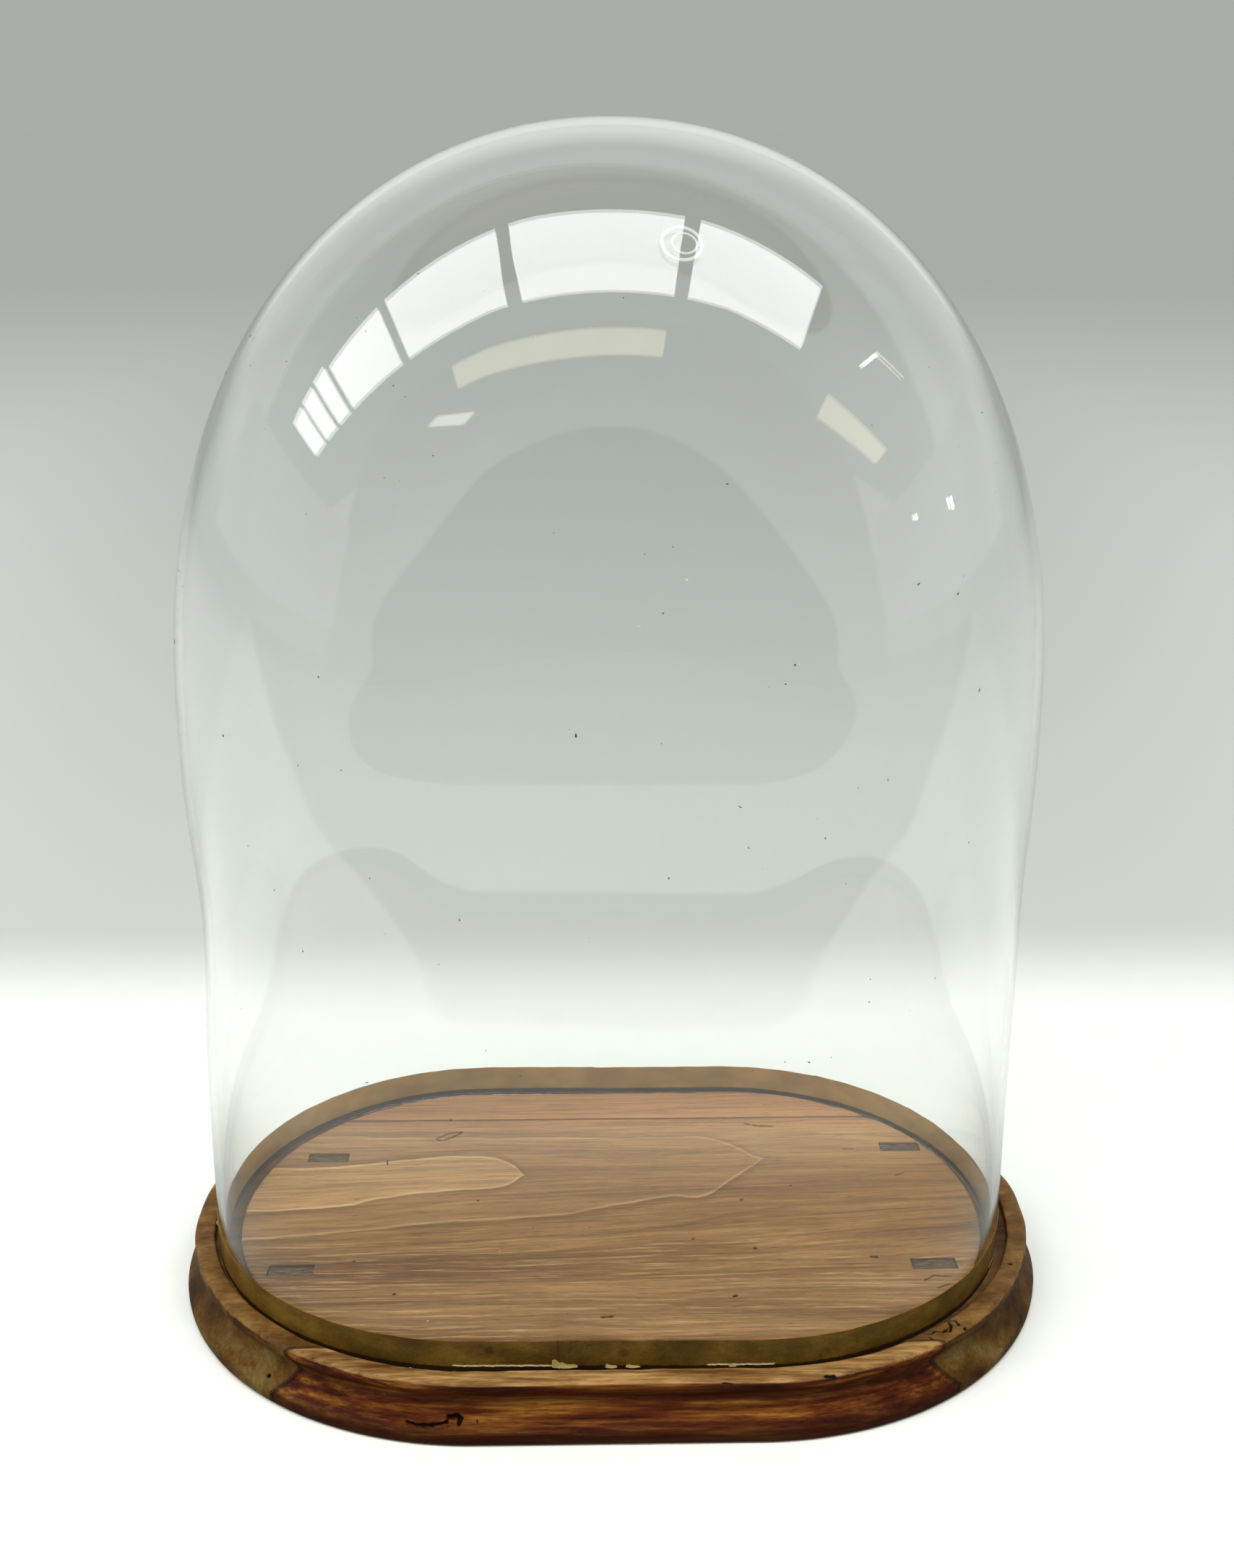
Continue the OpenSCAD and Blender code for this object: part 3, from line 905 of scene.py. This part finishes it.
# ---- pegs and battens
def peg_material():
    s = Shader("end_grain_pegs")
    rings = s.spots((0.22, 0.8, 0.2), 5.0, 0.7)
    specks = s.spots((2.2, 2.2, 0.3), 2.0, 0.5)
    colour = s.ramp(rings, (0.34, 36, 26, 16), (0.5, 70, 54, 34), (0.68, 112, 90, 58))
    colour = s.mix(s.step(specks, 0.42, 0.3), colour, srgb(14, 10, 8))
    bump = s.bump(s.add(rings, s.mul(specks, 0.5)), 0.25, 0.9)
    return s.finish(s.principled(Base_Color=colour, Roughness=0.62, Normal=bump, Specular_IOR_Level=0.3))


def make_pegs():
    """Four end-grain pegs, a little loose and sunk in their mortises."""
    mat = peg_material()
    half_x, half_y, sunk = PEG
    rng = random.Random(11)
    nx, ny = 30, 14
    top = BOARD_T - sunk
    hx, hy = half_x - 0.16, half_y - 0.14
    round_off = 0.7
    for name, (mid_x, mid_y) in PEG_PLACES.items():
        cx, cy = mid_x + rng.uniform(-0.04, 0.04), mid_y + rng.uniform(-0.04, 0.04)
        tilt = rng.uniform(-0.012, 0.012)
        seed = rng.randrange(1000)
        verts = []
        for level in (1, 0):
            for py in np.linspace(-hy, hy, ny):
                for px in np.linspace(-hx, hx, nx):
                    near = (max(0.0, abs(p) - (h - round_off)) / round_off for p, h in ((px, hx), (py, hy)))
                    drop = 0.275 * sum(n ** 2 for n in near)
                    verts.append((cx + px, cy + py, top - drop + tilt * px if level else 0.15))
        verts = np.array(verts)
        face = verts[:nx * ny]
        face[:, 2] += 0.10 * waves(face, 2.2, seed) - 0.10
        faces = sheet_faces(ny, nx)
        ob = make_object(f"peg_end_{name}", verts, faces, mat, 50.0)
        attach(ob, "base")
        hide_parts(f"peg_{name}")


def dress_battens():
    """The battens keep their CAD shape, with grain across the base and softened edges."""
    s = Shader("batten_wood")
    x, y, z = s.xyz(s.place())
    fine = s.noise(s.join(x, s.mul(y, 0.03), z), 4.0, 0.6, 1.2)
    broad = s.spots((0.14, 0.008, 0.14), 3.0)
    colour = s.ramp(broad, (0.3, 104, 78, 52), (0.5, 142, 110, 76), (0.7, 166, 132, 94))
    colour = s.mix(s.step(fine, 0.35, 0.65), s.times(colour, 0.74), s.times(colour, 1.15))
    bump = s.bump(fine, 0.15, 0.7)
    mat = s.finish(s.principled(Base_Color=colour, Roughness=0.6, Normal=bump, Specular_IOR_Level=0.3))
    for name in ("left_batten", "right_batten"):
        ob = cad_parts[name]
        if not ob.material_slots:
            ob.data.materials.append(mat)
        for slot in ob.material_slots:
            slot.material = mat
        bevel = ob.modifiers.new("soft_edges", "BEVEL")
        bevel.width = 0.5 * MM
        bevel.segments = 2
        bevel.limit_method = "ANGLE"


# ---- glass
# Where the belly swells and the crown starts, as shares of the height; how round the crown is; the
# belly's swell in millimetres; and how far the plan has turned oval at the crown
BELLY_START, BELLY_END, CROWN_START = 0.34, 0.48, 0.518
CROWN_POWER, CROWN_ROOT = 2.3, 2.05
BELLY = 2.0
OVAL_SHARE = 0.9
PINCH, PINCH_Z, PINCH_REACH = 2.4, 140.0, 42.0


def girth(h):
    """Size of the plan at a share h of the height, where 1 is its size at the foot."""
    swell = 1.0 + BELLY / HALF_LENGTH * float(ease((h - BELLY_START) / (BELLY_END - BELLY_START)))
    up = max(0.0, (h - CROWN_START) / (1.0 - CROWN_START))
    angle = math.asin(min(1.0, up ** (CROWN_POWER / 2.0)))
    return swell * math.cos(angle) ** (2.0 / CROWN_ROOT)


def crown_share(a):
    """Heights that space the crown's rings evenly; a runs from 0 to a right angle."""
    return CROWN_START + (1.0 - CROWN_START) * math.sin(a) ** (2.0 / CROWN_POWER)


def skin(stations, shares):
    """The outer skin about its own centre: rings of points at shares of the height, then the crown point."""
    plan = stadium(stations, 0.112, END_R)
    polar = np.arctan2(plan[:, 1], plan[:, 0])
    straight = np.hypot(plan[:, 0], plan[:, 1])
    oval = 1.0 / np.sqrt((np.cos(polar) / HALF_LENGTH) ** 2 + (np.sin(polar) / END_R) ** 2)
    rings = []
    for h in shares:
        share = OVAL_SHARE * float(ease((h - 0.45) / 0.5))
        size = girth(h) * (straight * (1.0 - share) + oval * share)
        level = np.full(stations, h * GLASS_H)
        rings.append(np.stack([size * np.cos(polar), size * np.sin(polar), level], axis=1))
    points = np.concatenate(rings + [np.array([[0.0, 0.0, GLASS_H]])])
    # The blown wall is pinched on the left under the belly and wavers slightly all round
    left = ease(-points[:, 0] / HALF_LENGTH * 1.4) * np.exp(-((points[:, 2] - PINCH_Z) / PINCH_REACH) ** 2)
    points[:, 0] += PINCH * left
    flat = np.hypot(points[:, 0], points[:, 1])
    fade = np.clip(flat / 60.0, 0.0, 1.0) * ease(points[:, 2] / 60.0)
    wobble = fade * (0.16 * waves(points, 120.0, 21) + 0.045 * waves(points, 38.0, 22))
    points[:, :2] *= (1.0 + wobble / np.maximum(flat, 1.0))[:, None]
    return points


def inset(points, stations, thick):
    """The same skin moved inwards by an even thickness."""
    grid = points[:-1].reshape(-1, stations, 3)
    above = np.concatenate([grid[1:], np.broadcast_to(points[-1], (1, stations, 3))])
    below = np.concatenate([grid[:1], grid[:-1]])
    out = np.cross(np.roll(grid, -1, axis=1) - np.roll(grid, 1, axis=1), above - below)
    out /= np.linalg.norm(out, axis=2, keepdims=True)
    out[0, :, 2] = 0.0
    moved = (grid - thick * out).reshape(-1, 3)
    return np.concatenate([moved, points[-1:] - (0.0, 0.0, thick)])


def make_glass():
    """The blown dome: one shell with an even wall, open at the foot."""
    s = Shader("clear_glass")
    rough = s.step(s.spots((0.02, 0.02, 0.008), 4.0, 0.6), 0.55, 0.8, 0.0, 0.035)
    glass = s.principled(Base_Color=(0.975, 0.985, 0.980, 1.0), Roughness=rough, IOR=1.47,
                         Transmission_Weight=1.0)
    # Light passes straight through to the boards, so that the case isn't dark inside
    light = s.max(s.light_path("Is Shadow Ray"), s.light_path("Is Diffuse Ray"))
    mat = s.finish(s.either(light, glass, s.clear((0.93, 0.95, 0.94, 1.0))))

    stations, wall_rows, crown_rows = 300, 44, 84
    shares = [CROWN_START * k / wall_rows for k in range(wall_rows)]
    shares += [crown_share(math.pi / 2 * k / crown_rows) for k in range(crown_rows)]
    rows = len(shares)
    foot = GLASS_T / 2.0
    outer = skin(stations, [max(h, foot / GLASS_H) for h in shares])
    inner = inset(outer, stations, GLASS_T)
    # Between the skins the foot is a rounded rim
    middle, half = (outer + inner)[:stations] / 2.0, (outer - inner)[:stations] / 2.0
    rounds = []
    for a in np.linspace(0.0, math.pi, 9)[1:-1]:
        ring = middle + half * math.cos(a)
        ring[:, 2] = foot - foot * math.sin(a)
        rounds.append(ring)
    verts = np.concatenate([outer, inner] + rounds)
    verts[:, 2] += GROOVE_Z
    verts = at_rest(verts)
    faces = []
    base = rows * stations + 1
    for k in range(rows - 1):
        faces += ring_faces(k * stations, (k + 1) * stations, stations)
        faces += turned(ring_faces(base + k * stations, base + (k + 1) * stations, stations))
    last = (rows - 1) * stations
    for i in range(stations):
        j = (i + 1) % stations
        faces.append((last + i, last + j, base - 1))
        faces.append((base + last + j, base + last + i, 2 * base - 1))
    ladder = [0] + [2 * base + k * stations for k in range(len(rounds))] + [base]
    for a, b in zip(ladder, ladder[1:]):
        faces += turned(ring_faces(a, b, stations))
    ob = make_object("glass_shell", verts, faces, mat, 180.0)
    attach(ob, "dome")
    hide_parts("glass_dome")


# ---- paper tape
# Stains on the front of the tape: x, z, size and depth; and where its front seam stands
STAINS = ((-48.5, 33.0, 2.4, 0.85), (-51.5, 35.0, 1.3, 0.5), (2.0, 31.5, 2.6, 0.45), (14.5, 35.0, 1.2, 0.4))
SEAM_X = -22.6


def tape_material():
    """Gummed olive paper: browner on its glued side, pale where torn, painted near black at the foot as the
    shade in the gap below the tape.
    """
    s = Shader("paper_tape")
    mottle = s.spots((0.05, 0.05, 0.09), 4.0, 0.6)
    fibre = s.spots((0.8, 0.8, 1.6), 3.0, 0.6)
    colour = s.ramp(mottle, (0.3, 58, 40, 6), (0.5, 76, 54, 10), (0.72, 96, 72, 20))
    colour = s.mix(s.step(fibre, 0.35, 0.68), s.times(colour, 0.84), s.times(colour, 1.12))
    spots = s.step(s.spots((0.22, 0.22, 0.3), 2.0), 0.70, 0.76)
    colour = s.mix(s.mul(spots, 0.6), colour, srgb(52, 36, 16))
    glued = s.mix(s.step(mottle, 0.3, 0.7), srgb(134, 98, 38), srgb(164, 124, 60))
    colour = s.mix(s.attribute("inner"), colour, glued)
    x, y, z = s.xyz(s.place())
    colour = s.times(colour, s.step(x, -80.0, -150.0, 1.0, 1.35))
    front = s.step(y, -60.0, -90.0)
    for at_x, at_z, size, depth in STAINS:
        far = s.add(s.length(s.sub(x, at_x), s.sub(z, at_z)), s.mul_add(fibre, 2.0, -1.0))
        mark = s.mul(s.step(far, size, size * 0.45, 0.0, depth), front)
        colour = s.mix(mark, colour, srgb(48, 28, 12))
    seam = s.mul(s.step(s.abs(s.sub(x, SEAM_X)), 0.6, 0.2), front)
    colour = s.mix(s.mul(seam, 0.55), colour, srgb(40, 28, 8))
    core = s.mix(s.step(fibre, 0.3, 0.7), srgb(178, 160, 112), srgb(214, 200, 158))
    colour = s.mix(s.attribute("torn"), colour, core)
    # Painted shadow: the paper's lowest rows, below the tape's edge, are near black for the shade in the gap
    # at the glass's foot
    colour = s.mix(s.step(s.attribute("grime"), 0.35, 0.6, 0.0, 0.93), colour, srgb(30, 18, 8))
    bump = s.bump(s.add(s.mul(fibre, 0.6), mottle), 0.12, 0.8)
    rough = s.step(mottle, 0.3, 0.7, 0.42, 0.58)
    return s.finish(s.principled(Base_Color=colour, Roughness=rough, Normal=bump, Specular_IOR_Level=0.12))


ARC = math.pi * END_R
HALF_WAY = ARC + 2.0 * STRAIGHT          # round the plan, from the middle of the front to that of the back
# Seams as distances round from the middle of the front
FRONT_SEAM = -21.0
SEAMS = (FRONT_SEAM, STRAIGHT + ARC * 0.70, STRAIGHT + ARC * 0.85, HALF_WAY + 6.0, HALF_WAY + STRAIGHT,
         FRONT_SEAM + 2 * HALF_WAY)
STRIPS = ("tape_right_end", "tape_back_right_patch", "tape_back_middle", "tape_back_left_patch",
          "tape_left_end")
TORN = ((-60.0, -21.0), (36.0, 61.0), (180.0, 196.0), (-240.0, -214.0))
TAPE_ROWS = (-0.20, -0.10, -0.01, 0.0, 0.035, 0.08, 0.2, 0.35, 0.5, 0.65, 0.8, 0.92, 1.0)
TAPE_STEP = 1.2
OVERLAP = 5.0                            # how far each strip runs on over the next
PAPER_T = 0.17


def plan_at(along, r):
    """Point and outward direction on the plan, at a distance round it from the middle of the front run."""
    turns, s = divmod(along, HALF_WAY)
    side = 1.0 if turns % 2 == 0 else -1.0
    if s < STRAIGHT:
        middle, way = (s, 0.0), (0.0, -1.0)
    elif s < STRAIGHT + ARC:
        a = (s - STRAIGHT) / END_R - math.pi / 2
        middle, way = (STRAIGHT, 0.0), (math.cos(a), math.sin(a))
    else:
        middle, way = (HALF_WAY - s, 0.0), (0.0, 1.0)
    way = side * np.array(way)
    return side * np.array(middle) + way * r, way


def make_tape():
    """Five strips of paper round the foot of the glass, each lapped over the next, wavy and torn."""
    mat = tape_material()
    rng = np.random.default_rng(8)
    columns = len(TAPE_ROWS)
    for k, name in enumerate(STRIPS):
        start, end = SEAMS[k], SEAMS[k + 1] + OVERLAP
        steps = int((end - start) / TAPE_STEP)
        lift = 0.05 + 0.10 * (k % 2)
        skew0, skew1 = rng.uniform(-0.8, 0.8, 2)
        phase = rng.uniform(0, 6.28, 8)
        verts, torn, inner, grime = [], [], [], []
        for side in (0, 1):
            for i in range(steps + 1):
                for j, t in enumerate(TAPE_ROWS):
                    along = start + (end - start) * i / steps
                    if i == 0:
                        along += skew0 * (t - 0.5) * 2.0 + 0.25 * math.sin(9 * t + phase[0])
                    if i == steps:
                        along += skew1 * (t - 0.5) * 2.0 + 0.3 * math.sin(7 * t + phase[1])
                    ragged = 0.12 * math.sin(along * 0.9 + phase[2]) * math.sin(along * 0.23 + phase[3])
                    ragged += 0.08 * math.sin(along * 2.3 + phase[4])
                    slow = 0.14 * math.sin(along * 0.045 + phase[5])
                    upper = 0.06 * math.sin(along * 0.4 + phase[6])
                    z = TAPE_Z + TAPE_H * t + slow + ragged * (1 - t) + upper * t
                    blister = 0.10 * max(0.0, math.sin(along * 0.16 + 3.0 * t + phase[7])) ** 3
                    tail = max(0.0, along - (end - 6.0)) / 6.0
                    off = 0.06 + lift + blister + 0.22 * tail + PAPER_T * side
                    if j in (0, columns - 1):
                        off -= 0.05 if side else -0.03
                    p, d = plan_at(along, END_R)
                    verts.append((*(p + d * off), z))
                    place = along if along < HALF_WAY else along - 2 * HALF_WAY
                    bare = side and 0.0 <= t < 0.04 and any(a < place < b for a, b in TORN)
                    torn.append(1.0 if bare else 0.0)
                    inner.append(1.0 - side)
                    # Painted shadow: the rows below the tape's edge are marked here for their near-black
                    # shade
                    grime.append(1.0 if t < 0.0 else 0.0)
        ob = make_object(f"paper_{name}", at_rest(verts), sheet_faces(steps + 1, columns), mat, 60.0)
        set_values(ob, torn=torn, inner=inner, grime=grime)
        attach(ob, "dome")
        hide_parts(name)


# Torn bits of paper hanging at the tape's lower edge: start along the tape, width, height and curl
SCRAPS = ((-22.5, 9.5, 3.0, 0.9), (-2.5, 4.6, 1.3, 1.0), (5.2, 5.6, 1.1, 0.9), (44.0, 3.0, 1.0, 0.5),
          (-222.0, 5.0, 2.2, 1.1),
          (404.0, 13.0, 1.5, 0.5), (448.0, 9.0, 1.3, 0.5))


def make_scraps():
    """Small curled sheets of torn paper round the foot of the tape."""
    verts, faces = [], []
    nu, nv = 14, 4
    for k, (start, width, height, curl) in enumerate(SCRAPS):
        faces += sheet_faces(nu + 1, nv + 1, len(verts))
        for side in (0, 1):
            for i in range(nu + 1):
                for j in range(nv + 1):
                    u, v = i / nu, j / nv
                    tall = height * (0.25 + 0.75 * (1.0 - u) ** 1.3) * (1.0 + 0.18 * math.sin(17 * u + k))
                    lift = 0.55 + curl * (1.0 - v) ** 2 * (0.35 + 0.65 * math.sin(math.pi * u)) + 0.15 * side
                    p, d = plan_at(start + width * u + 0.5 * v * math.sin(9 * u + k), END_R)
                    verts.append((*(p + d * lift), TAPE_Z - 0.25 + tall * v))
    ob = make_object("paper_scraps", at_rest(verts), faces, bpy.data.materials["paper_tape"], 60.0)
    none = [0.0] * len(verts)
    set_values(ob, torn=[1.0] * len(verts), inner=none, grime=none)
    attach(ob, "dome")


# ---- marks on the glass
MARK_STATIONS, MARK_ROWS = 240, 240      # grid of places on the glass where marks may lie


def marked_skin():
    """The glass's outer skin as it stands, as an even grid of places."""
    points = skin(MARK_STATIONS, [0.02 + 0.9 * k / MARK_ROWS for k in range(MARK_ROWS)])
    points[:, 2] += GROOVE_Z
    return at_rest(points)


def frame_on(points, row, station):
    """Place, outward direction and two sideways directions at one point of the skin."""
    first = row * MARK_STATIONS
    at = points[first + station]
    along = points[first + (station + 1) % MARK_STATIONS] - at
    up = points[first + MARK_STATIONS + station] - at
    along, up = along / np.linalg.norm(along), up / np.linalg.norm(up)
    out = np.cross(along, up)
    return at, out / np.linalg.norm(out), along, up


def make_blister(points):
    """A burst blister in the glass of the crown: a ring of glass within a ring."""
    far = np.linalg.norm(points[:(MARK_ROWS - 1) * MARK_STATIONS] - np.array(BLISTER), axis=1)
    at, out, along, up = frame_on(points, *divmod(int(np.argmin(far)), MARK_STATIONS))
    verts, faces = [], []
    n, m = 72, 10
    for ring, thick, shift in ((6.5, 0.65, 0.0), (4.0, 0.38, 0.9)):
        start = len(verts)
        for i in range(n):
            a = 2 * math.pi * i / n
            arm = along * math.cos(a) + up * math.sin(a)
            wide = ring * (1.0 + 0.04 * math.sin(2 * a + 1.0))
            bow = wide ** 2 / 190.0
            for j in range(m):
                b = 2 * math.pi * j / m
                verts.append(at + along * shift + arm * (wide + thick * math.cos(b))
                             + out * (0.6 * thick * math.sin(b) + 0.15 - bow))
        for i in range(n):
            here, ahead = start + i * m, start + (i + 1) % n * m
            for j in range(m):
                across = (j + 1) % m
                faces.append((here + j, ahead + j, ahead + across, here + across))
    ob = make_object("glass_blister", verts, faces, bpy.data.materials["clear_glass"], 180.0)
    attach(ob, "dome")


def make_dust(points):
    """Specks of dust all over the dome."""
    s = Shader("glass_dust")
    tone = s.spots((0.05, 0.05, 0.05), 2.0)
    colour = s.ramp(tone, (0.4, 70, 64, 56), (0.55, 120, 112, 100), (0.62, 206, 204, 196))
    mat = s.finish(s.principled(Base_Color=colour, Roughness=0.8, Specular_IOR_Level=0.2))
    rng = np.random.default_rng(21)
    verts, faces = [], []
    n = 7
    for _ in range(DUST_COUNT):
        row, station = int(rng.integers(2, MARK_ROWS - 2)), int(rng.integers(0, MARK_STATIONS))
        at, out, along, up = frame_on(points, row, station)
        size = 0.18 + 0.34 * rng.random() ** 2
        long = 1.0 + 2.0 * rng.random() ** 3
        turn = rng.uniform(0, math.pi)
        side = along * math.cos(turn) + up * math.sin(turn)
        lift = up * math.cos(turn) - along * math.sin(turn)
        start = len(verts)
        for level, share in ((-0.02, 0.7), (0.05, 1.0), (0.12, 0.5)):
            for i in range(n):
                a = 2 * math.pi * i / n
                r = size * share * (1.0 + 0.25 * math.sin(3 * a + turn))
                verts.append(at + side * r * long * math.cos(a) + lift * r * math.sin(a) + out * level)
        faces.append(tuple(range(start + n - 1, start - 1, -1)))
        faces += ring_faces(start, start + n, n) + ring_faces(start + n, start + 2 * n, n)
        faces.append(tuple(range(start + 2 * n, start + 3 * n)))
    ob = make_object("glass_dust", verts, faces, mat, 60.0)
    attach(ob, "dome")


def make_marks():
    """The flaws and the dust on the glass."""
    points = marked_skin()
    make_blister(points)
    make_dust(points)


# ---- all together
make_camera()
make_floor()
make_sky()
make_lights()
make_boards()
make_pegs()
dress_battens()
make_glass()
make_tape()
make_scraps()
make_marks()

bpy.context.scene.view_settings.view_transform = "Standard"
